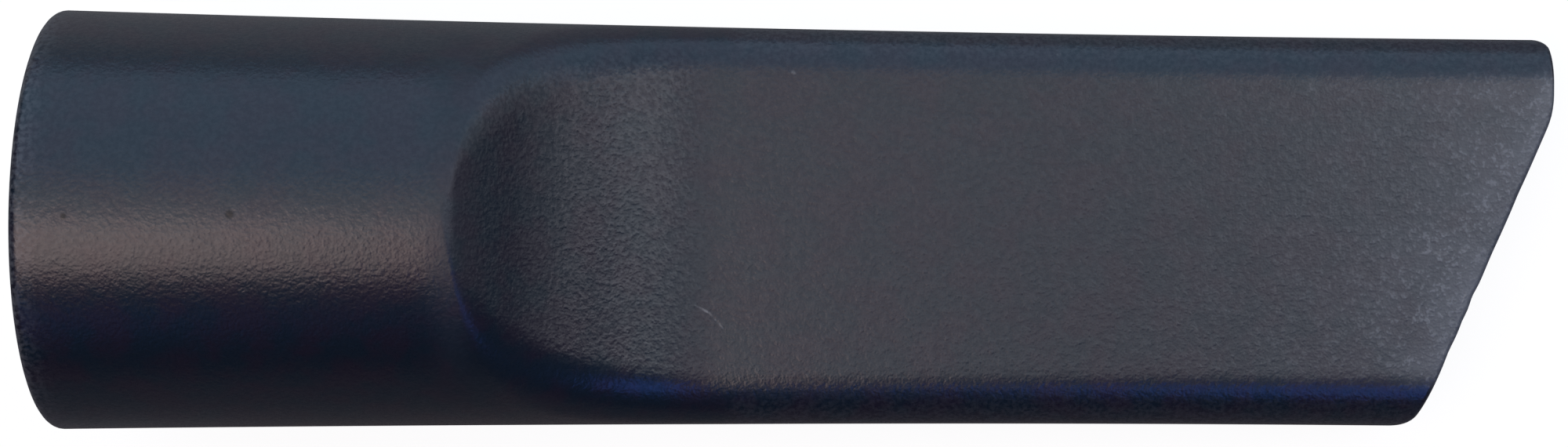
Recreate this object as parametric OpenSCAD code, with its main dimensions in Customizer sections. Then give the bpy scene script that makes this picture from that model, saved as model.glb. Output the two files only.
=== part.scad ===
// Crevice nozzle for a vacuum cleaner's wand
// One hollow moulding. A round socket slides over the wand's end, a pair of
// sloping ramps flattens the tube, and a flat duct carries the air to a
// slanted tip. X runs from the mouth of the socket to the tip, Y runs across
// the flat face towards the tip's long side, and Z stands out of that face.

/* [Socket] */
// Bore of the socket, which slides over the wand's end
socket_d = 35; // [32:0.5:36]
// Depth of the socket, from its mouth to the stop
socket_depth = 32; // [20:1:34]
// Height of the stop that the wand's end meets
stop_h = 1; // [0.5:0.1:2]
// Wall of the socket at its mouth
mouth_wall = 2.15; // [1.8:0.05:3]
// Rounding of the mouth's outer edge
mouth_edge_r = 1; // [0.3:0.1:1.2]
// Lead-in chamfer on the mouth's inner edge
lead_in = 0.4; // [0.2:0.1:0.6]

/* [Duct] */
// Overall length, from the mouth to the point of the tip
overall_l = 139.2; // [110:0.1:220]
// Width of the duct at its tip
tip_w = 36.3; // [34:0.1:40]
// Thickness of the duct
duct_t = 11.5; // [10:0.25:14]
// Rounding of the duct's long edges
duct_edge_r = 4.6; // [3:0.1:5.4]
// Wall of the duct and of the ramps
wall = 1.8; // [1.2:0.1:2.2]

/* [Ramps] */
// Where the line of each ramp leaves the tube, from the mouth
ramp_start = 38.6; // [37:0.1:60]
// Slope of the ramps from the axis
ramp_angle = 46; // [30:0.5:50]
// Rounding of the edge between the tube and a ramp
ramp_edge_r = 2; // [2:0.5:6]
// Hollow rounding at the foot of a ramp
ramp_foot_r = 26; // [6:1:28]
// Growth of the long edges' rounding for each millimetre up a ramp
edge_growth = 0.5; // [0:0.05:0.7]

/* [Tip] */
// Length of the square land on the tip's long side, from the side of the duct
tip_land = 7.2; // [4:0.1:20]
// Angle of the slant from square
tip_slant = 23.7; // [0:0.1:35]
// Rounding of the square corner on the long side, seen from above
tip_corner_r = 1.2; // [0.5:0.1:3]
// Rounding of the blunt corner on the short side, seen from above
tip_heel_r = 1.8; // [0.5:0.1:3]
// Rounding where the land meets the slant, seen from above
tip_break_r = 7.5; // [1:0.5:10]
// Rounding of the rim round the tip's opening
rim_r = 0.5; // [0.2:0.1:0.6]

/* [Smoothness] */
// Points round each section
ring_n = 72; // [48:4:80]

/* [Hidden] */

// Radii of the bore and of the passage behind its stop
bore_r = socket_d / 2;
throat_r = bore_r - stop_h;
mouth_r = bore_r + mouth_wall;
tip_half_w = tip_w / 2;
duct_half_t = duct_t / 2;

// How far a cutting tool runs past the face that it cuts
overrun = 1;
// How far the hollow behind the stop reaches back into the bore's space
throat_overlap = 0.5;

// Start of the ramp's edge rounding, and the tube's radius there
crest_x = ramp_start - ramp_edge_r * tan(ramp_angle / 2);
crest_r = tube_r(crest_x);
// Foot of the ramp, where its hollow rounding runs out into the flat face
foot_rise = ramp_foot_r * (1 - cos(ramp_angle));
foot_x = ramp_start + (crest_r - duct_half_t - foot_rise) / tan(ramp_angle)
    + ramp_foot_r * sin(ramp_angle);

// Outer radius of the tube and half width of the duct: one long curve that
// narrows from the mouth and runs straight at the tip
function tube_r(x) = tip_half_w + (mouth_r - tip_half_w) * pow(1 - x / overall_l, 2);

// Radius and half width of the passage: a straight taper from the stop to the tip
function passage_r(x) = throat_r
    + (tip_half_w - wall - throat_r) * (x - socket_depth) / (overall_l - socket_depth);

// Half height that the two ramps leave at x. A depth below the skin gives the
// parallel surface of the passage: both roundings keep their centres.
function ramp_h(x, depth) =
    let (edge_r = ramp_edge_r - depth, foot_r = ramp_foot_r + depth)
    x <= crest_x ? mouth_r
    : x < crest_x + edge_r * sin(ramp_angle)
        ? crest_r - ramp_edge_r + sqrt(edge_r * edge_r - pow(x - crest_x, 2))
    : x < foot_x - foot_r * sin(ramp_angle)
        ? crest_r - depth / cos(ramp_angle) - (x - ramp_start) * tan(ramp_angle)
    : x < foot_x
        ? duct_half_t + ramp_foot_r - sqrt(foot_r * foot_r - pow(foot_x - x, 2))
    : duct_half_t - depth;

// Rounding of the long edges at x: the duct's own, and more in proportion to
// the height up the ramps
function long_edge_r(x) = duct_edge_r
    + edge_growth * max(0, min(ramp_h(x, 0), crest_r) - duct_half_t);

// Point at turn t of a section: a circle of radius r, cut flat at half height
// h, with its four edges rounded by edge_r. The points lie on rays from the
// axis, turned so that a flat section gets as many on its round sides as a
// round one.
function section_point(r, h, edge_r, t) =
    let (
        flat_h = min(h, r),
        ray = atan2(flat_h * sin(t), r * cos(t)),
        c = abs(cos(ray)),
        s = abs(sin(ray)),
        edge_z = flat_h - edge_r,
        edge_y = sqrt(max(0, pow(r - edge_r, 2) - edge_z * edge_z)),
        along = edge_y * c + edge_z * s,
        reach = atan2(s, c) <= atan2(edge_z, edge_y) ? r
            : atan2(s, c) >= atan2(flat_h, edge_y) ? flat_h / s
            : along + sqrt(along * along - edge_y * edge_y - edge_z * edge_z + edge_r * edge_r)
    )
    [reach * cos(ray), reach * sin(ray)];

// Centres of the roundings in the tip's outline
corner_y = tip_half_w - tip_corner_r;
heel_y = tip_heel_r - tip_half_w;
break_y = tip_half_w - tip_land;
break_centre_y = break_y + tip_break_r * tan(tip_slant / 2);
heel_x = overall_l - (break_y - heel_y) * tan(tip_slant) - tip_heel_r / cos(tip_slant);

// Outline of the tip seen from above: how far the duct reaches at y
function tip_x(y) =
    y > corner_y
        ? overall_l - tip_corner_r + arc_rise(tip_corner_r, y - corner_y)
    : y > break_centre_y
        ? overall_l
    : y > break_centre_y - tip_break_r * sin(tip_slant)
        ? overall_l - tip_break_r + arc_rise(tip_break_r, y - break_centre_y)
    : y > heel_y - tip_heel_r * sin(tip_slant)
        ? overall_l - (break_y - y) * tan(tip_slant)
    : heel_x + arc_rise(tip_heel_r, y - heel_y);

// Height of an arc of radius r at a distance d from its middle
function arc_rise(r, d) = sqrt(max(0, r * r - d * d));

// One ring of points round the outside or the passage. Along the duct the
// rings lean more and more, until the last one follows the tip's outline.
function ring(x, r, h, edge_r, shift = 0) =
    let (lean = max(0, (x - foot_x) / (overall_l - foot_x)))
    [
        for (i = [0 : ring_n - 1])
            let (
                p = section_point(r, h, edge_r, 360 * i / ring_n),
                reach = tip_x(p[0] * tip_half_w / tube_r(x)) - overall_l
            )
            [x + shift + lean * reach, p[0], p[1]]
    ];
function outer_ring(x, inset = 0, shift = 0) =
    ring(x, tube_r(x) - inset, ramp_h(x, 0) - inset, long_edge_r(x) - inset, shift);
function inner_ring(x, outset = 0, shift = 0) =
    ring(x, passage_r(x) + outset, ramp_h(x, wall) + outset, long_edge_r(x) - wall + outset, shift);

// Places of the rings on a ramp: close together where its edge first cuts the
// tube, then by equal angles round its foot
edge_steps = 8;
foot_steps = 6;
function ramp_places(start_x, depth) =
    let (foot_r = ramp_foot_r + depth, line_end = foot_x - foot_r * sin(ramp_angle))
    concat(
        [for (i = [0 : edge_steps]) start_x + (line_end - start_x) * pow(i / edge_steps, 2)],
        [for (i = [1 : foot_steps]) foot_x - foot_r * sin(ramp_angle * (1 - i / foot_steps))]
    );
// Where the ramp's inner face first cuts the round passage
inner_start = ramp_start + (crest_r - wall / cos(ramp_angle) - throat_r) / tan(ramp_angle);

// Rings along the duct, in equal steps from the ramps' foot to the tip
duct_steps = 4;
duct_places = [for (i = [1 : duct_steps - 1]) foot_x + (overall_l - foot_x) * i / duct_steps];
// Turns of the rounded edges at the mouth and round the tip's opening
mouth_turns = [0, 30, 60, 90];
rim_turns = [0, 45, 90];

// The skin runs from the mouth along the outside, over the tip's rim and back
// through the passage to the bore
skin = concat(
    [for (a = mouth_turns) outer_ring(mouth_edge_r * (1 - cos(a)), mouth_edge_r * (1 - sin(a)))],
    [for (i = [1 : 2]) outer_ring(crest_x * i / 3)],
    [for (x = ramp_places(crest_x, 0)) outer_ring(x)],
    [for (x = duct_places) outer_ring(x)],
    [for (a = rim_turns) outer_ring(overall_l, rim_r * (1 - cos(a)), -rim_r * (1 - sin(a)))],
    [for (a = rim_turns) inner_ring(overall_l, rim_r * (1 - sin(a)), -rim_r * (1 - cos(a)))],
    [for (i = [duct_steps - 2 : -1 : 0]) inner_ring(duct_places[i])],
    reversed([for (x = ramp_places(inner_start, wall)) inner_ring(x)]),
    [inner_ring(socket_depth - throat_overlap)]
);
function reversed(list) = [for (i = [len(list) - 1 : -1 : 0]) list[i]];

// Closed solid through a list of rings that have equally many points
module loft(rings) {
    n = len(rings[0]);
    last = len(rings) - 1;
    sides = [
        for (k = [0 : last - 1], i = [0 : n - 1])
            let (a = k * n + i, b = k * n + (i + 1) % n)
            each [[a, b, b + n], [a, b + n, a + n]]
    ];
    near_end = [[for (i = [n - 1 : -1 : 0]) i]];
    far_end = [[for (i = [0 : n - 1]) last * n + i]];
    polyhedron(points = [for (r = rings) each r], faces = concat(sides, near_end, far_end),
        convexity = 6);
}

// True round bore of the socket, with the chamfer that leads the wand in
module socket_bore() {
    rotate([0, 90, 0]) {
        translate([0, 0, -overrun])
            cylinder(h = socket_depth + overrun, r = bore_r, $fn = 144);
        translate([0, 0, -overrun])
            cylinder(h = overrun + lead_in, r1 = bore_r + lead_in + overrun, r2 = bore_r, $fn = 144);
    }
}

// The whole moulding
module nozzle() {
    color([0.27, 0.27, 0.3])
    difference() {
        loft(skin);
        socket_bore();
    }
}

nozzle();
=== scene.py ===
"""A moulded crevice nozzle: the skin of the moulding, its finish, and the studio that shows it."""

import math

import bpy
import numpy as np
from bpy.props import FloatProperty, FloatVectorProperty, PointerProperty
from bpy.types import Operator, Panel, PropertyGroup
from mathutils import Matrix, Vector


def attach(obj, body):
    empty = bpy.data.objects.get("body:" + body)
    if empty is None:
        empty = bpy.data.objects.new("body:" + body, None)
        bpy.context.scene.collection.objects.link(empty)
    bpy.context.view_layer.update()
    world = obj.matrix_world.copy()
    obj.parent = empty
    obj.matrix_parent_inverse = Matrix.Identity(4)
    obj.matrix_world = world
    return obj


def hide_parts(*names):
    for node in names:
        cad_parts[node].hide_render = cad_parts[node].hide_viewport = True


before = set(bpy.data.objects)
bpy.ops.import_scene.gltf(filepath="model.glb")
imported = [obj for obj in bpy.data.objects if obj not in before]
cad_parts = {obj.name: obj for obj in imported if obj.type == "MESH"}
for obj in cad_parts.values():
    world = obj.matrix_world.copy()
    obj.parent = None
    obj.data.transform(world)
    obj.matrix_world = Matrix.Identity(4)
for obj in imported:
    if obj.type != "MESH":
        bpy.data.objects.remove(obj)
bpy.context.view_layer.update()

bl_info = {
    "name": "Crevice Nozzle",
    "version": (1, 0, 0),
    "blender": (4, 5, 0),
    "location": "3D View > Sidebar > Nozzle",
    "description": "Builds a moulded crevice nozzle, its finish and a small studio",
    "category": "Add Mesh",
}

MM = 0.001
NODE = "nozzle"

# The photograph's frame, in pixels
PHOTO_W, PHOTO_H = 2000, 570
SENSOR_W = 36.0


def length(name, description, default, low=0.0):
    """A size in metres that a user can set."""
    return FloatProperty(name=name, description=description, default=default, min=low, unit="LENGTH",
                         precision=5)


def colour(name, description, default):
    """A linear colour that a user can set."""
    return FloatVectorProperty(name=name, description=description, default=default, size=3, min=0, max=1,
                               subtype="COLOR")


def share(name, description, default):
    """A plain number from 0 up."""
    return FloatProperty(name=name, description=description, default=default, min=0)


class NozzleShape(PropertyGroup):
    """Sizes of the moulding."""

    overall_l: length("Overall length", "From the mouth to the point of the tip", 139.2 * MM)
    mouth_r: length("Mouth radius", "Outer radius at the mouth", 19.65 * MM)
    bore_r: length("Bore radius", "Radius of the socket's bore", 17.5 * MM)
    socket_depth: length("Socket depth", "From the mouth to the stop", 32 * MM)
    stop_h: length("Stop", "Height of the stop behind the bore", 1 * MM)
    lead_in: length("Lead-in", "Chamfer on the mouth's inner edge", 0.4 * MM)
    mouth_edge_r: length("Mouth edge", "Rounding of the mouth's outer edge", 1 * MM)
    tip_half_w: length("Tip half width", "Half the duct's width at the tip", 18.15 * MM)
    duct_half_t: length("Duct half thickness", "Half the duct's thickness", 5.75 * MM)
    duct_edge_r: length("Long edges", "Rounding of the duct's long edges", 4.6 * MM)
    edge_growth: share("Edge growth", "How much the rounding of the edges grows for each metre up the ramps", 0.5)
    wall: length("Wall", "Wall of the duct and of the ramps", 1.8 * MM)
    ramp_start: length("Ramp start", "Where the ramp's line leaves the tube", 38.6 * MM)
    ramp_edge_r: length("Ramp edge", "Rounding between the tube and a ramp", 2 * MM)
    ramp_foot_r: length("Ramp foot", "Hollow rounding at the foot of a ramp", 26 * MM)
    ramp_angle: FloatProperty(name="Ramp slope", description="Slope of the ramps from the axis",
                              default=math.radians(46), subtype="ANGLE")
    tip_land: length("Tip land", "Square land on the tip's long side", 7.2 * MM)
    tip_slant: FloatProperty(name="Tip slant", description="Angle of the slant from square",
                             default=math.radians(23.7), subtype="ANGLE")
    tip_corner_r: length("Square corner", "Rounding of the corner on the long side", 1.2 * MM)
    tip_heel_r: length("Blunt corner", "Rounding of the corner on the short side", 1.8 * MM)
    tip_break_r: length("Land's corner", "Rounding where the land meets the slant", 7.5 * MM)
    rim_r: length("Rim", "Rounding of the rim round the tip's opening", 0.5 * MM)
    inner_edge_r: length("Inner edges", "Rounding of the stop's edges", 0.2 * MM)
    nick_depth: length("Nicks", "Depth of the nicks worn into the slanted rim", 0.12 * MM)


class NozzleFinish(PropertyGroup):
    """Colours and grain of the moulded plastic."""

    plastic: colour("Plastic", "Dark blue-grey of the moulding", (0.0047, 0.0106, 0.0192))
    plastic_warm: colour("Warm mottle", "Warmer patches of the same plastic", (0.0103, 0.009, 0.0182))
    # Pale of real wear, also used on the mouth's rim as a painted highlight
    rubbed: colour("Rubbed", "Plastic that use has rubbed pale", (0.1, 0.108, 0.122))
    mark: colour("Marks", "Pale scratches and specks", (0.16, 0.165, 0.17))
    dirt: colour("Specks", "Dark specks in the grain", (0.004, 0.004, 0.005))
    grain_size: length("Grain size", "Width of one peak of the grain", 0.46 * MM)
    grain_depth: length("Grain depth", "Height of the grain", 0.025 * MM)
    roughness: share("Roughness", "Roughness of the plastic within the grain", 0.29)
    sheen: share("Sheen", "Strength of the sheen between the grain's bright peaks", 0.32)
    bore_roughness: share("Bore roughness", "Roughness of the smoother inside", 0.3)


class StudioSettings(PropertyGroup):
    """Camera and lamps."""

    camera_height: length("Camera height", "Camera above the nozzle's axis", 283.6 * MM)
    camera_x: length("Camera along", "Camera's place along the nozzle", 68.1 * MM)
    camera_y: length("Camera across", "Camera's place across the nozzle", 0.27 * MM)
    studio_lean: FloatProperty(name="Lean", description="Turn of the camera and its lamps about the nozzle's axis",
                               default=math.radians(2.7), subtype="ANGLE")
    camera_roll: FloatProperty(name="Roll", description="Turn of the camera about its own line of sight",
                               default=math.radians(0.54), subtype="ANGLE")
    focal_px: share("Focal length", "Focal length in pixels of the photograph", 3848)
    key: share("Key", "Radiance of the warm softbox over the socket", 3.45)
    overhead: share("Overhead", "Radiance of the long softbox overhead", 1.25)
    strip: share("Strip", "Radiance of the softbox over the tip", 2.65)
    slope: share("Slope", "Radiance of the softbox that the ramp faces", 2.5)
    fill: share("Fill", "Radiance of the large cool softbox on the long side", 1.2)
    end: share("Far end", "Radiance of the softbox past the tip", 0.9)
    low: share("Low blue", "Radiance of the small blue softboxes low on the short side", 2.25)
    ambient: share("Ambient", "Radiance of the room", 0.02)
    floor_seen: share("Floor in reflections", "How bright reflections see the floor, where the camera's white is 1", 0.24)


def smooth(value):
    """Smooth step: 3v^2 - 2v^3 for a value held between 0 and 1."""
    v = np.clip(value, 0, 1)
    return v * v * (3 - 2 * v)


def arc_rise(radius, distance):
    """Height of an arc of that radius at a distance from its middle: the root of r^2 - d^2."""
    return np.sqrt(np.maximum(0, radius * radius - distance * distance))


def tube_radius(s, x):
    """Outer radius at x: the tip's half width, plus what the mouth has over it times (1 - x/length)^2."""
    return s.tip_half_w + (s.mouth_r - s.tip_half_w) * (1 - x / s.overall_l) ** 2


def passage_radius(s, x):
    """Radius of the passage at x: a straight taper from the stop to the tip's inner half width."""
    throat = s.bore_r - s.stop_h
    run = (x - s.socket_depth) / (s.overall_l - s.socket_depth)
    return throat + (s.tip_half_w - s.wall - throat) * run


def ramp_places(s):
    """Where the ramp's rounded edge starts, the tube's radius there, and where its foot ends."""
    crest_x = s.ramp_start - s.ramp_edge_r * math.tan(s.ramp_angle / 2)
    crest_r = tube_radius(s, crest_x)
    rise = s.ramp_foot_r * (1 - math.cos(s.ramp_angle))
    foot_x = (s.ramp_start + (crest_r - s.duct_half_t - rise) / math.tan(s.ramp_angle)
              + s.ramp_foot_r * math.sin(s.ramp_angle))
    return crest_x, crest_r, foot_x


def ramp_height(s, x, depth):
    """Half height left by the ramps at x: an arc, a straight slope, a hollow arc and the flat face.

    A depth below the skin keeps both centres and changes both radii, which gives the parallel inner face.
    """
    crest_x, crest_r, foot_x = ramp_places(s)
    edge_r, foot_r = s.ramp_edge_r - depth, s.ramp_foot_r + depth
    sine, cosine, slope = math.sin(s.ramp_angle), math.cos(s.ramp_angle), math.tan(s.ramp_angle)
    on_edge = crest_r - s.ramp_edge_r + arc_rise(edge_r, x - crest_x)
    on_line = crest_r - depth / cosine - (x - s.ramp_start) * slope
    on_foot = s.duct_half_t + s.ramp_foot_r - arc_rise(foot_r, foot_x - x)
    places = [x <= crest_x, x < crest_x + edge_r * sine, x < foot_x - foot_r * sine, x < foot_x]
    return np.select(places, [s.mouth_r + 0 * x, on_edge, on_line, on_foot], s.duct_half_t - depth)


def long_edge(s, x):
    """Rounding of the long edges at x: the duct's own, and more in proportion to the height up the ramps."""
    crest_r = ramp_places(s)[1]
    climb = np.maximum(0, np.minimum(ramp_height(s, x, 0), crest_r) - s.duct_half_t)
    return s.duct_edge_r + s.edge_growth * climb


def section(radius, half_height, edge_r, turn):
    """Points of sections: a circle cut flat at a half height, its four edges rounded.

    A point lies on the ray of angle atan2(h sin t, r cos t), where the ray meets the circle, the
    rounding's own circle or the flat. Returns y and z, one row for each section.
    """
    flat = np.minimum(half_height, radius)
    ray = np.arctan2(flat * np.sin(turn), radius * np.cos(turn))
    across, up = np.abs(np.cos(ray)), np.abs(np.sin(ray))
    edge_z = flat - edge_r
    edge_y = np.sqrt(np.maximum(0, (radius - edge_r) ** 2 - edge_z ** 2))
    along = edge_y * across + edge_z * up
    on_edge = along + np.sqrt(np.maximum(0, along ** 2 - edge_y ** 2 - edge_z ** 2 + edge_r ** 2))
    angle = np.arctan2(up, across)
    on_flat = flat / np.maximum(up, 1e-9)
    reach = np.where(angle >= np.arctan2(flat, edge_y), on_flat, on_edge)
    reach = np.where(angle <= np.arctan2(edge_z, edge_y), radius, reach)
    return reach * np.cos(ray), reach * np.sin(ray)


def tip_reach(s, y):
    """How far the tip reaches at y: a rounded corner, the square land, an arc, the slant, a rounded heel."""
    tan, sin, cos = math.tan(s.tip_slant), math.sin(s.tip_slant), math.cos(s.tip_slant)
    corner_y = s.tip_half_w - s.tip_corner_r
    heel_y = s.tip_heel_r - s.tip_half_w
    break_y = s.tip_half_w - s.tip_land
    arc_y = break_y + s.tip_break_r * math.tan(s.tip_slant / 2)
    heel_x = s.overall_l - (break_y - heel_y) * tan - s.tip_heel_r / cos
    places = [y > corner_y, y > arc_y, y > arc_y - s.tip_break_r * sin, y > heel_y - s.tip_heel_r * sin]
    return np.select(places, [
        s.overall_l - s.tip_corner_r + arc_rise(s.tip_corner_r, y - corner_y),
        s.overall_l + 0 * y,
        s.overall_l - s.tip_break_r + arc_rise(s.tip_break_r, y - arc_y),
        s.overall_l - (break_y - y) * tan,
    ], heel_x + arc_rise(s.tip_heel_r, y - heel_y))


# Nicks in the slanted rim: place across the tip, half width and depth as a share of the deepest
NICKS = ((-6.1 * MM, 0.8 * MM, 1.0), (-2.2 * MM, 1.6 * MM, 0.35), (-8.4 * MM, 0.6 * MM, 0.5),
         (-11.2 * MM, 0.9 * MM, 0.6), (3.4 * MM, 1.1 * MM, 0.3), (11.5 * MM, 1.8 * MM, 0.25))


def nicks(s, y):
    """How far use has worn the rim back at y: a sum of bell curves."""
    return s.nick_depth * sum(depth * np.exp(-((y - place) / width) ** 2) for place, width, depth in NICKS)


class RingList:
    """Rings of the skin in order: each has its place, radius, half height, edge radius and shift."""

    def __init__(self):
        self.rows = []

    def add(self, x, radius, half_height, edge_r, shift, outside):
        rows = np.broadcast_arrays(x, radius, half_height, edge_r, shift, outside)
        self.rows.append(np.stack([np.ravel(r) for r in rows], 1).astype(float))

    def columns(self):
        return np.concatenate(self.rows).T[:, :, None]


def skin_rings(s):
    """The skin's rings: out along the outside, over the tip's rim, back down the passage and the bore."""
    crest_x, crest_r, foot_x = ramp_places(s)
    rings = RingList()

    def outer(x, inset=0.0, shift=0.0):
        rings.add(x, tube_radius(s, x) - inset, ramp_height(s, x, 0) - inset, long_edge(s, x) - inset, shift, 1)

    def inner(x, outset=0.0, shift=0.0):
        rings.add(x, passage_radius(s, x) + outset, ramp_height(s, x, s.wall) + outset,
                  long_edge(s, x) - s.wall + outset, shift, 0)

    def turned(x, radius):
        rings.add(x, radius, radius, s.duct_edge_r / 2, 0, 0)

    def slope(start, depth):
        """Places on a ramp: by squares from where its edge first cuts, then by equal angles round its foot."""
        foot_r = s.ramp_foot_r + depth
        line_end = foot_x - foot_r * math.sin(s.ramp_angle)
        by_squares = start + (line_end - start) * np.linspace(0, 1, 45) ** 2
        by_angles = foot_x - foot_r * np.sin(np.linspace(s.ramp_angle, 0, 26)[1:])
        return np.concatenate([by_squares, by_angles])

    quarter = np.linspace(0, math.pi / 2, 7)
    full = np.full(7, s.overall_l)
    outer(s.mouth_edge_r * (1 - np.cos(quarter)), s.mouth_edge_r * (1 - np.sin(quarter)))
    outer(np.linspace(s.mouth_edge_r, crest_x, 26)[1:-1])
    outer(slope(crest_x, 0))
    outer(foot_x + (s.overall_l - foot_x) * np.linspace(0, 1, 40)[1:-1])
    outer(full, s.rim_r * (1 - np.cos(quarter)), -s.rim_r * (1 - np.sin(quarter)))
    inner(full, s.rim_r * (1 - np.sin(quarter)), -s.rim_r * (1 - np.cos(quarter)))
    inner(foot_x + (s.overall_l - foot_x) * np.linspace(1, 0, 30)[1:-1])
    throat_r = s.bore_r - s.stop_h
    inner_start = s.ramp_start + (crest_r - s.wall / math.cos(s.ramp_angle) - throat_r) / math.tan(s.ramp_angle)
    inner(slope(inner_start, s.wall)[::-1])
    edge = s.inner_edge_r
    inner(np.linspace(inner_start, s.socket_depth + edge, 6)[1:])
    turned(s.socket_depth + edge * (1 - np.sin(quarter[1:])), throat_r + edge * (1 - np.cos(quarter[1:])))
    turned(s.socket_depth - edge * (1 - np.cos(quarter)), s.bore_r - edge * (1 - np.sin(quarter)))
    turned(np.linspace(s.socket_depth - edge, s.lead_in, 18)[1:], s.bore_r)
    turned(np.array([0.0]), s.bore_r + s.lead_in)
    return rings.columns()


POINTS_ROUND = 256


def skin_points(s):
    """The skin as a grid of points, one row for each ring, with how rubbed and how grained each point is, and where a
    highlight is painted on the mouth's rim.

    Along the duct the rings lean towards the tip's outline, fully so at the tip, and the worn rim
    keeps its nicks over the last few millimetres.
    """
    x, radius, half_height, edge_r, shift, outside = skin_rings(s)
    turn = np.linspace(0, 2 * math.pi, POINTS_ROUND, endpoint=False)[None]
    y, z = section(radius, half_height, edge_r, turn)
    foot_x = ramp_places(s)[2]
    lean = np.clip((x - foot_x) / (s.overall_l - foot_x), 0, 1)
    on_tip = y * s.tip_half_w / tube_radius(s, x)
    reach = tip_reach(s, on_tip) - s.overall_l
    worn = nicks(s, on_tip) * smooth(1 - (s.overall_l - x) / (2.5 * MM)) * (x > foot_x)
    along = x + shift + lean * reach - worn
    from_tip = np.maximum(s.overall_l - x, 0) + 0 * y
    past_flat = np.abs(y) - (radius - edge_r)
    round_side = outside * smooth(past_flat / edge_r) * (x > foot_x)
    on_face = outside * (x > foot_x) * (1 - smooth((past_flat + 1.3 * MM) / (3.2 * MM)))
    rub = on_face * (0.85 * np.exp(-from_tip / (11 * MM)) + 0.4 * np.exp(-from_tip / (2.5 * MM)))
    # The mouth's rim: a little wear, made paler still as a painted highlight where its rounding catches the light
    mouth_wear_and_highlight = outside * np.exp(-x / (0.8 * MM)) + 0 * y
    crest_x = ramp_places(s)[0]
    on_ramp = smooth((x - crest_x) / (4 * MM)) * smooth((foot_x - x) / (6 * MM))
    flat_side = smooth((half_height + 0.5 * MM - np.abs(z)) / (-1 * MM) + 1.5)
    on_crest = np.exp(-((x - crest_x - 1 * MM) / (1.8 * MM)) ** 2) * smooth((np.abs(z) / radius - 0.35) / 0.3)
    # Edges: real wear on the long edges near the tip, and wear with a painted highlight on the mouth's rim
    marks = {"tip_rub": rub, "edge_wear_and_rim_highlight": np.maximum(round_side * 0.35, 1.9 * mouth_wear_and_highlight),
             "ramp_grain": outside * on_ramp * flat_side, "crest_rub": outside * on_crest}
    return np.stack([along + 0 * y, y, z], -1), marks, outside[:, 0]


def closed_grid_faces(rows, columns):
    """Four-sided faces over a grid that closes on itself both ways, turned outwards."""
    row, column = np.meshgrid(np.arange(rows), np.arange(columns), indexing="ij")
    next_row, next_column = (row + 1) % rows, (column + 1) % columns
    corners = [row * columns + column, row * columns + next_column, next_row * columns + next_column,
               next_row * columns + column]
    return np.stack([c.ravel() for c in corners], 1)


def new_mesh(name, points, faces):
    """A mesh object at the origin from plain arrays of points and four-sided faces."""
    mesh = bpy.data.meshes.new(name)
    mesh.vertices.add(len(points))
    mesh.vertices.foreach_set("co", points.astype(np.float32).ravel())
    mesh.loops.add(faces.size)
    mesh.loops.foreach_set("vertex_index", faces.astype(np.int32).ravel())
    mesh.polygons.add(len(faces))
    mesh.polygons.foreach_set("loop_start", np.arange(0, faces.size, faces.shape[1], dtype=np.int32))
    mesh.update(calc_edges=True)
    mesh.validate()
    obj = bpy.data.objects.new(name, mesh)
    bpy.context.scene.collection.objects.link(obj)
    return obj


def add_attribute(mesh, name, values):
    """A number for each point of the mesh, which its material reads."""
    mesh.attributes.new(name, "FLOAT", "POINT").data.foreach_set("value", values.astype(np.float32).ravel())


class NodeTree:
    """Short calls for making and joining shader nodes."""

    def __init__(self, tree):
        self.tree = tree

    def node(self, kind, inputs=None, **settings):
        made = self.tree.nodes.new(kind)
        for name, value in settings.items():
            setattr(made, name, value)
        for name, value in (inputs or {}).items():
            self.feed(made.inputs[name], value)
        return made

    def feed(self, socket, value):
        if isinstance(value, bpy.types.NodeSocket):
            self.tree.links.new(value, socket)
        else:
            socket.default_value = value

    def math(self, operation, first, second=0.0, third=0.0, clamp=False):
        made = self.node("ShaderNodeMath", {0: first, 1: second, 2: third}, operation=operation, use_clamp=clamp)
        return made.outputs[0]

    def vector(self, operation, first, second=(0, 0, 0), output="Vector"):
        made = self.node("ShaderNodeVectorMath", {0: first, 1: second}, operation=operation)
        return made.outputs[output]

    def scaled(self, vector, scale):
        made = self.node("ShaderNodeVectorMath", {0: vector, "Scale": scale}, operation="SCALE")
        return made.outputs["Vector"]

    def noise(self, vector, scale, detail=2.0, roughness=0.5):
        inputs = {"Vector": vector, "Scale": scale, "Detail": detail, "Roughness": roughness}
        return self.node("ShaderNodeTexNoise", inputs).outputs["Fac"]

    def ramp(self, value, low, high, to_low=0.0, to_high=1.0):
        inputs = {"Value": value, "From Min": low, "From Max": high, "To Min": to_low, "To Max": to_high}
        made = self.node("ShaderNodeMapRange", inputs, interpolation_type="SMOOTHSTEP", clamp=True)
        return made.outputs["Result"]

    def blend(self, factor, first, second):
        made = self.node("ShaderNodeMix", data_type="RGBA", clamp_factor=True)
        sockets = [made.inputs[0], made.inputs[6], made.inputs[7]]
        for socket, value in zip(sockets, (factor, first, second)):
            self.feed(socket, value)
        return made.outputs[2]


def new_group(name, inputs, outputs):
    """An empty node group with named sockets, and the calls for filling it."""
    group = bpy.data.node_groups.new(name, "ShaderNodeTree")
    for socket, kind, default in inputs:
        made = group.interface.new_socket(socket, in_out="INPUT", socket_type=kind)
        if default is not None:
            made.default_value = default
    for socket, kind in outputs:
        group.interface.new_socket(socket, in_out="OUTPUT", socket_type=kind)
    nodes = NodeTree(group)
    return group, nodes, nodes.node("NodeGroupInput").outputs, nodes.node("NodeGroupOutput").inputs


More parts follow.
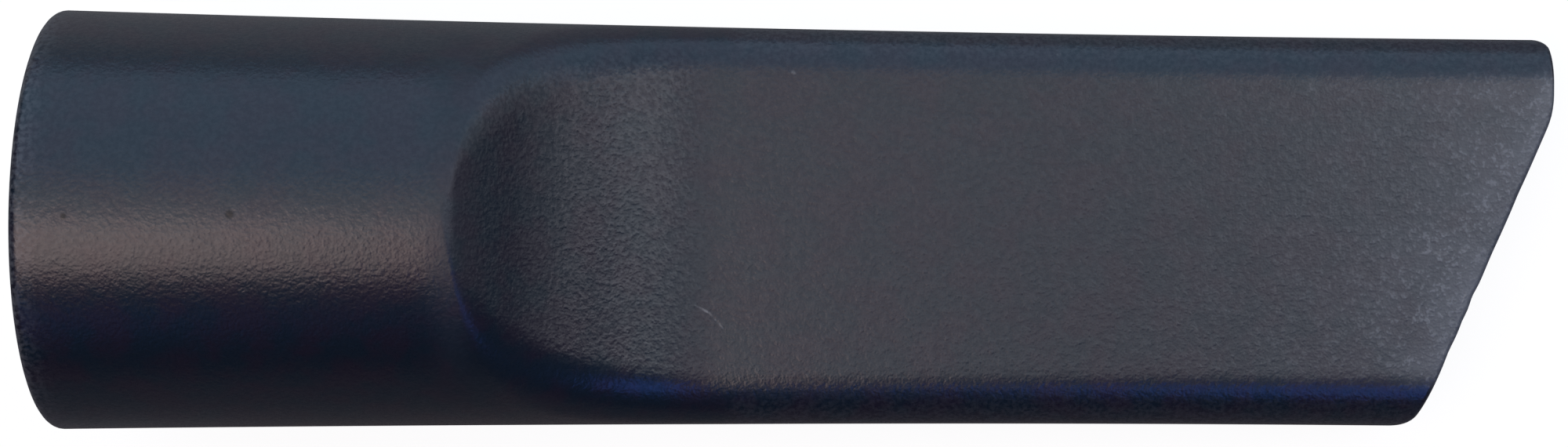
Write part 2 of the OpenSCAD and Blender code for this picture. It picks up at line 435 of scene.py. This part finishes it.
def grain_group():
    """Spark-eroded grain: small round pits and peaks of one size, a finer roughness, and slow patches of tone."""
    group, n, given, out = new_group(
        "Moulded Grain",
        [("Vector", "NodeSocketVector", None), ("Grain Size", "NodeSocketFloat", 0.0004)],
        [("Height", "NodeSocketFloat"), ("Fine", "NodeSocketFloat"), ("Patches", "NodeSocketFloat")],
    )
    placed = n.scaled(given["Vector"], n.math("DIVIDE", 1.0, given["Grain Size"]))
    peaks = n.noise(placed, 1.0, 1.0, 0.5)
    cells = n.node("ShaderNodeTexVoronoi", {"Vector": placed, "Scale": 1.3}, feature="F1").outputs["Distance"]
    fine = n.noise(placed, 2.4, 0.0, 0.5)
    height = n.math("MULTIPLY_ADD", cells, -0.35, n.math("MULTIPLY_ADD", peaks, 1.2, n.math("MULTIPLY", fine, 0.35)))
    n.feed(out["Height"], height)
    n.feed(out["Fine"], fine)
    n.feed(out["Patches"], n.noise(placed, 0.115, 3.0, 0.6))
    return group


def scratch_group():
    """A scratch: strong near the straight line from Start to End, and gone a width away."""
    group, n, given, out = new_group(
        "Scratch",
        [("Vector", "NodeSocketVector", None), ("Start", "NodeSocketVector", None),
         ("End", "NodeSocketVector", None), ("Width", "NodeSocketFloat", 0.0001)],
        [("Mask", "NodeSocketFloat")],
    )
    run = n.vector("SUBTRACT", given["End"], given["Start"])
    seen = n.vector("SUBTRACT", given["Vector"], given["Start"])
    squared = n.math("MAXIMUM", n.vector("DOT_PRODUCT", run, run, "Value"), 1e-12)
    along = n.math("DIVIDE", n.vector("DOT_PRODUCT", seen, run, "Value"), squared, clamp=True)
    away = n.vector("DISTANCE", seen, n.scaled(run, along), "Value")
    n.feed(out["Mask"], n.ramp(n.math("DIVIDE", away, given["Width"]), 0.25, 1.0, 1.0, 0.0))
    return group


# Pale scratches and specks on the upper face: start, end, width in metres, and strength
SCRATCHES = (
    ((60.0 * MM, -7.6 * MM, 5.75 * MM), (61.3 * MM, -8.3 * MM, 5.75 * MM), 0.16 * MM, 0.75),
    ((61.3 * MM, -8.3 * MM, 5.75 * MM), (62.6 * MM, -9.7 * MM, 5.75 * MM), 0.12 * MM, 0.4),
    ((126.4 * MM, -2.1 * MM, 5.75 * MM), (129.3 * MM, -2.2 * MM, 5.75 * MM), 0.3 * MM, 0.28),
    ((130.5 * MM, -2.0 * MM, 5.75 * MM), (131.0 * MM, -1.8 * MM, 5.75 * MM), 0.3 * MM, 0.22),
    ((131.1 * MM, -5.3 * MM, 5.7 * MM), (130.5 * MM, -6.8 * MM, 5.7 * MM), 0.14 * MM, 0.9),
    ((129.3 * MM, -10.4 * MM, 5.7 * MM), (128.8 * MM, -11.4 * MM, 5.7 * MM), 0.12 * MM, 0.6),
    ((68.8 * MM, 14.0 * MM, 5.7 * MM), (68.9 * MM, 13.9 * MM, 5.7 * MM), 0.26 * MM, 0.4),
    ((93.3 * MM, 15.9 * MM, 5.1 * MM), (93.5 * MM, 15.9 * MM, 5.1 * MM), 0.2 * MM, 0.35),
    ((116.6 * MM, 13.2 * MM, 5.75 * MM), (116.7 * MM, 13.0 * MM, 5.75 * MM), 0.36 * MM, 0.32),
    ((126.6 * MM, 13.5 * MM, 5.75 * MM), (126.7 * MM, 13.5 * MM, 5.75 * MM), 0.2 * MM, 0.5),
    ((46.5 * MM, 15.2 * MM, 11.1 * MM), (46.6 * MM, 15.2 * MM, 11.0 * MM), 0.3 * MM, 0.5),
)
# Dark specks on the crest of the tube: place and width, in metres
SPECKS = (
    ((19.5 * MM, -0.3 * MM, 19.3 * MM), 0.55 * MM),
    ((5.0 * MM, -0.6 * MM, 19.5 * MM), 0.4 * MM),
)


def largest(n, masks):
    """The largest of several masks."""
    most = masks[0]
    for mask in masks[1:]:
        most = n.math("MAXIMUM", most, mask)
    return most


def new_material(name):
    """A material with a bare Principled shader."""
    material = bpy.data.materials.new(name)
    material.use_nodes = True
    material.node_tree.nodes.clear()
    n = NodeTree(material.node_tree)
    shader = n.node("ShaderNodeBsdfPrincipled")
    n.node("ShaderNodeOutputMaterial", {"Surface": shader.outputs["BSDF"]})
    return material, n, shader


def rgba(value):
    return (*value, 1.0)


def outside_material(finish, grain, scratch):
    """Grained outside: mottled blue-grey plastic, rubbed pale at the tip and long edges, a painted highlight on the
    mouth's rim, and a few marks and specks.
    """
    material, n, shader = new_material("moulding_outside")
    place = n.node("ShaderNodeTexCoord").outputs["Object"]
    grained = n.node("ShaderNodeGroup", {}, node_tree=grain)
    n.feed(grained.inputs["Vector"], place)
    n.feed(grained.inputs["Grain Size"], finish.grain_size)

    rub = n.node("ShaderNodeAttribute", attribute_name="tip_rub").outputs["Fac"]
    # Wear on the long edges; on the mouth's rim, wear and a painted highlight
    edge = n.node("ShaderNodeAttribute", attribute_name="edge_wear_and_rim_highlight").outputs["Fac"]
    clouds = n.ramp(n.noise(place, 230.0, 2.0, 0.5), 0.34, 0.66, 0.62, 1.0)
    glint = n.ramp(grained.outputs["Height"], 0.3, 0.92)
    sparks = n.ramp(grained.outputs["Height"], 0.62, 0.98)
    rubbed = n.math("MULTIPLY", n.math("MULTIPLY", rub, clouds), n.math("MULTIPLY_ADD", sparks, 1.15, 0.78), clamp=True)
    # The pale colour here is wear, and on the mouth's rim also a painted highlight
    rubbed = n.math("MAXIMUM", rubbed, n.math("MULTIPLY", edge, n.math("MULTIPLY", glint, 0.5)))

    masks = []
    for start, end, width, strength in SCRATCHES:
        made = n.node("ShaderNodeGroup", {}, node_tree=scratch)
        for name, value in (("Vector", place), ("Start", start), ("End", end), ("Width", width)):
            n.feed(made.inputs[name], value)
        masks.append(n.math("MULTIPLY", made.outputs["Mask"], strength))
    broken = n.ramp(grained.outputs["Height"], 0.35, 0.8, 0.25, 1.0)
    marked = n.math("MULTIPLY", largest(n, masks), broken)

    dots = []
    for centre, width in SPECKS:
        away = n.vector("DISTANCE", place, centre, "Value")
        dots.append(n.ramp(away, width * 0.35, width, 1.0, 0.0))
    dotted = n.math("MULTIPLY", largest(n, dots), 0.9)

    mottle = n.ramp(grained.outputs["Patches"], 0.38, 0.64)
    tone = n.blend(mottle, rgba(finish.plastic), rgba(finish.plastic_warm))
    tone = n.blend(rubbed, tone, rgba(finish.rubbed))
    tone = n.blend(marked, tone, rgba(finish.mark))
    tone = n.blend(dotted, tone, rgba(finish.dirt))
    n.feed(shader.inputs["Base Color"], tone)

    rough = n.math("MULTIPLY_ADD", grained.outputs["Fine"], 0.14, finish.roughness - 0.07)
    rough = n.math("MULTIPLY_ADD", rubbed, 0.1, rough)
    crest = n.node("ShaderNodeAttribute", attribute_name="crest_rub").outputs["Fac"]
    n.feed(shader.inputs["Roughness"], n.math("MULTIPLY_ADD", crest, 0.16, rough))

    on_ramp = n.node("ShaderNodeAttribute", attribute_name="ramp_grain").outputs["Fac"]
    contrast = n.math("MULTIPLY_ADD", on_ramp, 0.25, 0.21)
    least = n.math("MULTIPLY_ADD", on_ramp, -0.23, 0.3)
    weight = n.math("MULTIPLY_ADD", glint, contrast, least)
    n.feed(shader.inputs["Coat Weight"], n.math("MULTIPLY", weight, n.math("SUBTRACT", 1.0, dotted)))
    n.feed(shader.inputs["Coat Roughness"], n.math("MULTIPLY_ADD", crest, 0.16, finish.roughness))
    n.feed(shader.inputs["Specular IOR Level"], finish.sheen)

    bump = n.node("ShaderNodeBump", {"Distance": finish.grain_depth, "Height": grained.outputs["Height"]})
    n.feed(shader.inputs["Normal"], bump.outputs["Normal"])
    n.feed(shader.inputs["Coat Normal"], bump.outputs["Normal"])
    return material


def passage_material(finish, grain):
    """Smoother inside: the same plastic, drawn off a polished core, with faint lines along the draw."""
    material, n, shader = new_material("moulding_passage")
    place = n.node("ShaderNodeTexCoord").outputs["Object"]
    grained = n.node("ShaderNodeGroup", {}, node_tree=grain)
    n.feed(grained.inputs["Vector"], place)
    n.feed(grained.inputs["Grain Size"], finish.grain_size * 2)
    lines = n.noise(n.vector("MULTIPLY", place, (0.03, 1.0, 1.0)), 1400.0, 2.0, 0.5)
    mottle = n.ramp(grained.outputs["Patches"], 0.38, 0.64)
    n.feed(shader.inputs["Base Color"], n.blend(mottle, rgba(finish.plastic), rgba(finish.plastic_warm)))
    n.feed(shader.inputs["Roughness"], n.math("MULTIPLY_ADD", lines, 0.12, finish.bore_roughness - 0.06))
    height = n.math("MULTIPLY_ADD", grained.outputs["Height"], 0.4, n.math("MULTIPLY", lines, 0.6))
    bump = n.node("ShaderNodeBump", {"Distance": finish.grain_depth * 0.35, "Height": height})
    n.feed(shader.inputs["Normal"], bump.outputs["Normal"])
    return material


class NOZZLE_OT_moulding(Operator):
    """Build the moulding and give it its grained outside and smoother inside"""

    bl_idname = "nozzle.moulding"
    bl_label = "Build Moulding"

    def execute(self, context):
        shape, finish = context.scene.nozzle_shape, context.scene.nozzle_finish
        points, marks, outside = skin_points(shape)
        rows, columns = points.shape[:2]
        faces = closed_grid_faces(rows, columns)
        piece = new_mesh("nozzle_moulding", points.reshape(-1, 3), faces)
        for name, values in marks.items():
            add_attribute(piece.data, name, values)
        grain = grain_group()
        piece.data.materials.append(outside_material(finish, grain, scratch_group()))
        piece.data.materials.append(passage_material(finish, grain))
        inside = np.repeat(outside < 0.5, columns)
        piece.data.polygons.foreach_set("material_index", inside.astype(np.int32))
        piece.data.polygons.foreach_set("use_smooth", np.ones(len(faces), bool))
        piece.data.set_sharp_from_angle(angle=math.radians(35))
        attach(piece, "root")
        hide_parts(NODE)
        return {"FINISHED"}


def resting_plane(points, centre):
    """Ground that the part lies on: the highest plane under all its points, measured below its centre.

    The plane is z = height + slope_x x + slope_y y. The best slopes are found on a grid that closes in.
    """
    best = np.zeros(2)
    reach = 0.3
    while reach > 1e-5:
        steps = np.linspace(-reach, reach, 9)
        tries = best + np.stack(np.meshgrid(steps, steps), -1).reshape(-1, 2)
        heights = np.array([(points[:, 2] - points[:, :2] @ t).min() for t in tries])
        best = tries[np.argmax(heights + tries @ centre[:2])]
        reach /= 3
    return (points[:, 2] - points[:, :2] @ best).min(), best


def centre_of_skin(mesh):
    """Centre of the skin by area, which for a thin moulding is close to its centre of weight."""
    centres = np.zeros(len(mesh.polygons) * 3, np.float32)
    areas = np.zeros(len(mesh.polygons), np.float32)
    mesh.polygons.foreach_get("center", centres)
    mesh.polygons.foreach_get("area", areas)
    return (centres.reshape(-1, 3) * areas[:, None]).sum(0) / areas.sum()


def floor_material(reflected):
    """White floor that keeps the shadow: a pale surface with a glow.

    Reflections see it dimly, as painted light beyond the nozzle's long side only.
    """
    material = bpy.data.materials.new("studio_floor")
    material.use_nodes = True
    material.node_tree.nodes.clear()
    n = NodeTree(material.node_tree)
    path = n.node("ShaderNodeLightPath").outputs
    across = n.node("ShaderNodeSeparateXYZ", {0: n.node("ShaderNodeTexCoord").outputs["Object"]}).outputs["Y"]
    # Painted light: reflections see the floor glow past the nozzle's long side only, as if lamps lit that side and the
    # nozzle shaded the other
    lit = n.ramp(across, 0.0, 0.1, 0.0, reflected)
    bounced = n.math("MULTIPLY", n.math("MAXIMUM", path["Is Glossy Ray"], path["Is Transmission Ray"]), lit)
    seen = n.math("MAXIMUM", path["Is Camera Ray"], bounced)
    surface = n.node("ShaderNodeBsdfDiffuse", {"Color": (0.13, 0.13, 0.13, 1)}).outputs["BSDF"]
    glow = n.node("ShaderNodeEmission", {"Strength": n.math("MULTIPLY", seen, 0.92)}).outputs["Emission"]
    white = n.node("ShaderNodeAddShader", {0: surface, 1: glow}).outputs["Shader"]
    clear = n.node("ShaderNodeBsdfTransparent").outputs["BSDF"]
    below = n.node("ShaderNodeNewGeometry").outputs["Backfacing"]
    mixed = n.node("ShaderNodeMixShader", {0: below, 1: white, 2: clear}).outputs["Shader"]
    n.node("ShaderNodeOutputMaterial", {"Surface": mixed})
    return material


def add_floor(piece, reflected):
    """A disc in the plane that the part lies on."""
    co = np.zeros(len(piece.data.vertices) * 3, np.float32)
    piece.data.vertices.foreach_get("co", co)
    centre = centre_of_skin(piece.data)
    height, slopes = resting_plane(co.reshape(-1, 3).astype(float), centre)
    turn = np.linspace(0, 2 * math.pi, 96, endpoint=False)
    rim = centre[:2] + 0.9 * np.stack([np.cos(turn), np.sin(turn)], 1)
    points = np.column_stack([rim, height + rim @ slopes])
    floor = new_mesh("studio_floor", points, np.arange(len(points))[None])
    floor.data.materials.append(floor_material(reflected))


def add_softbox(name, centre, target, size, radiance, tint):
    """An area lamp of a given radiance, facing its target. Its power is radiance times pi times its area."""
    lamp = bpy.data.lights.new(name, "AREA")
    lamp.shape, lamp.size, lamp.size_y = "RECTANGLE", size[0], size[1]
    lamp.energy = radiance * math.pi * size[0] * size[1]
    lamp.color = tint
    obj = bpy.data.objects.new(name, lamp)
    bpy.context.scene.collection.objects.link(obj)
    obj.location = centre
    obj.rotation_euler = (centre - target).to_track_quat("Z", "Y").to_euler()


# Softboxes: name, the setting for its radiance, its place, what it faces, its size and its tint
SOFTBOXES = (
    ("warm_key", "key", (-0.32, -0.197, 0.72), (-0.32, -0.197, 0), (0.66, 0.375), (1.0, 0.77, 0.7)),
    ("overhead", "overhead", (-0.32, 0.095, 0.74), (-0.32, 0.095, 0), (1.16, 0.32), (0.96, 0.95, 1.0)),
    ("tip_strip", "strip", (0.45, 0.128, 0.7), (0.45, 0.128, 0), (0.38, 0.224), (0.95, 0.96, 1.0)),
    ("ramp_strip", "slope", (1.03, 0.163, 0.7), (1.03, 0.163, 0), (0.8, 0.175), (1.0, 0.93, 0.97)),
    ("cool_fill", "fill", (0.1, 0.76, 0.54), (0.07, 0, 0), (2.4, 1.35), (0.56, 0.76, 1.0)),
    ("far_end", "end", (1.3, 0.42, 0.4), (0.07, 0, 0), (0.9, 0.8), (0.9, 0.93, 1.0)),
    ("blue_tip", "low", (0.33, -0.43, 0.61), (0.1, 0, 0), (0.26, 0.39), (0.1, 0.24, 1.0)),
    ("blue_mouth", "low", (-0.33, -0.6, 0.45), (0.0, 0, 0), (0.45, 0.28), (0.02, 0.06, 0.19)),
)


def add_world(ambient):
    """A dim room for the light and for reflections, and plain white for the camera."""
    world = bpy.data.worlds.new("studio_room")
    bpy.context.scene.world = world
    world.use_nodes = True
    world.node_tree.nodes.clear()
    n = NodeTree(world.node_tree)
    seen = n.node("ShaderNodeLightPath").outputs["Is Camera Ray"]
    strength = n.math("MULTIPLY_ADD", seen, 1.0 - ambient, ambient)
    back = n.node("ShaderNodeBackground", {"Color": (1, 1, 1, 1), "Strength": strength})
    n.node("ShaderNodeOutputWorld", {"Surface": back.outputs["Background"]})


def add_camera(studio):
    """The photograph's camera: above the flat face, a little to the short side and a little turned."""
    data = bpy.data.cameras.new("photo_camera")
    data.sensor_width = SENSOR_W
    data.lens = studio.focal_px * SENSOR_W / PHOTO_W
    data.clip_start, data.clip_end = 0.01, 20
    camera = bpy.data.objects.new("photo_camera", data)
    bpy.context.scene.collection.objects.link(camera)
    lean = Matrix.Rotation(studio.studio_lean, 3, "X")
    camera.location = lean @ Vector((studio.camera_x, studio.camera_y, studio.camera_height))
    camera.rotation_euler = (lean @ Matrix.Rotation(studio.camera_roll, 3, "Z")).to_euler()
    bpy.context.scene.camera = camera


class NOZZLE_OT_studio(Operator):
    """Set up the floor, the lamps, the room and the camera"""

    bl_idname = "nozzle.studio"
    bl_label = "Build Studio"

    def execute(self, context):
        studio = context.scene.nozzle_studio
        piece = bpy.data.objects.get("nozzle_moulding")
        if piece is None:
            raise RuntimeError("build the moulding first: the floor is laid under it")
        add_floor(piece, studio.floor_seen)
        lean = Matrix.Rotation(studio.studio_lean, 3, "X")
        for name, setting, centre, target, size, tint in SOFTBOXES:
            add_softbox(name, lean @ Vector(centre), lean @ Vector(target), size, getattr(studio, setting), tint)
        add_world(studio.ambient)
        add_camera(studio)
        context.scene.view_settings.view_transform = "Standard"
        return {"FINISHED"}


class NOZZLE_PT_sidebar(Panel):
    """The nozzle's sizes, finish and studio, with the operators that build them"""

    bl_idname = "NOZZLE_PT_sidebar"
    bl_label = "Crevice Nozzle"
    bl_space_type = "VIEW_3D"
    bl_region_type = "UI"
    bl_category = "Nozzle"

    def draw(self, context):
        layout = self.layout
        for settings, operator in SECTIONS:
            group = getattr(context.scene, settings)
            for name in group.bl_rna.properties.keys():
                if name not in ("rna_type", "name"):
                    layout.prop(group, name)
            if operator:
                layout.operator(operator)


SECTIONS = (("nozzle_shape", None), ("nozzle_finish", "nozzle.moulding"), ("nozzle_studio", "nozzle.studio"))
CLASSES = (NozzleShape, NozzleFinish, StudioSettings, NOZZLE_OT_moulding, NOZZLE_OT_studio, NOZZLE_PT_sidebar)
SETTINGS = {"nozzle_shape": NozzleShape, "nozzle_finish": NozzleFinish, "nozzle_studio": StudioSettings}


def register():
    for cls in CLASSES:
        bpy.utils.register_class(cls)
    for name, group in SETTINGS.items():
        setattr(bpy.types.Scene, name, PointerProperty(type=group))


def unregister():
    for name in SETTINGS:
        delattr(bpy.types.Scene, name)
    for cls in reversed(CLASSES):
        bpy.utils.unregister_class(cls)


def main():
    """Build the nozzle and its studio."""
    register()
    bpy.ops.nozzle.moulding()
    bpy.ops.nozzle.studio()


if __name__ == "__main__":
    main()
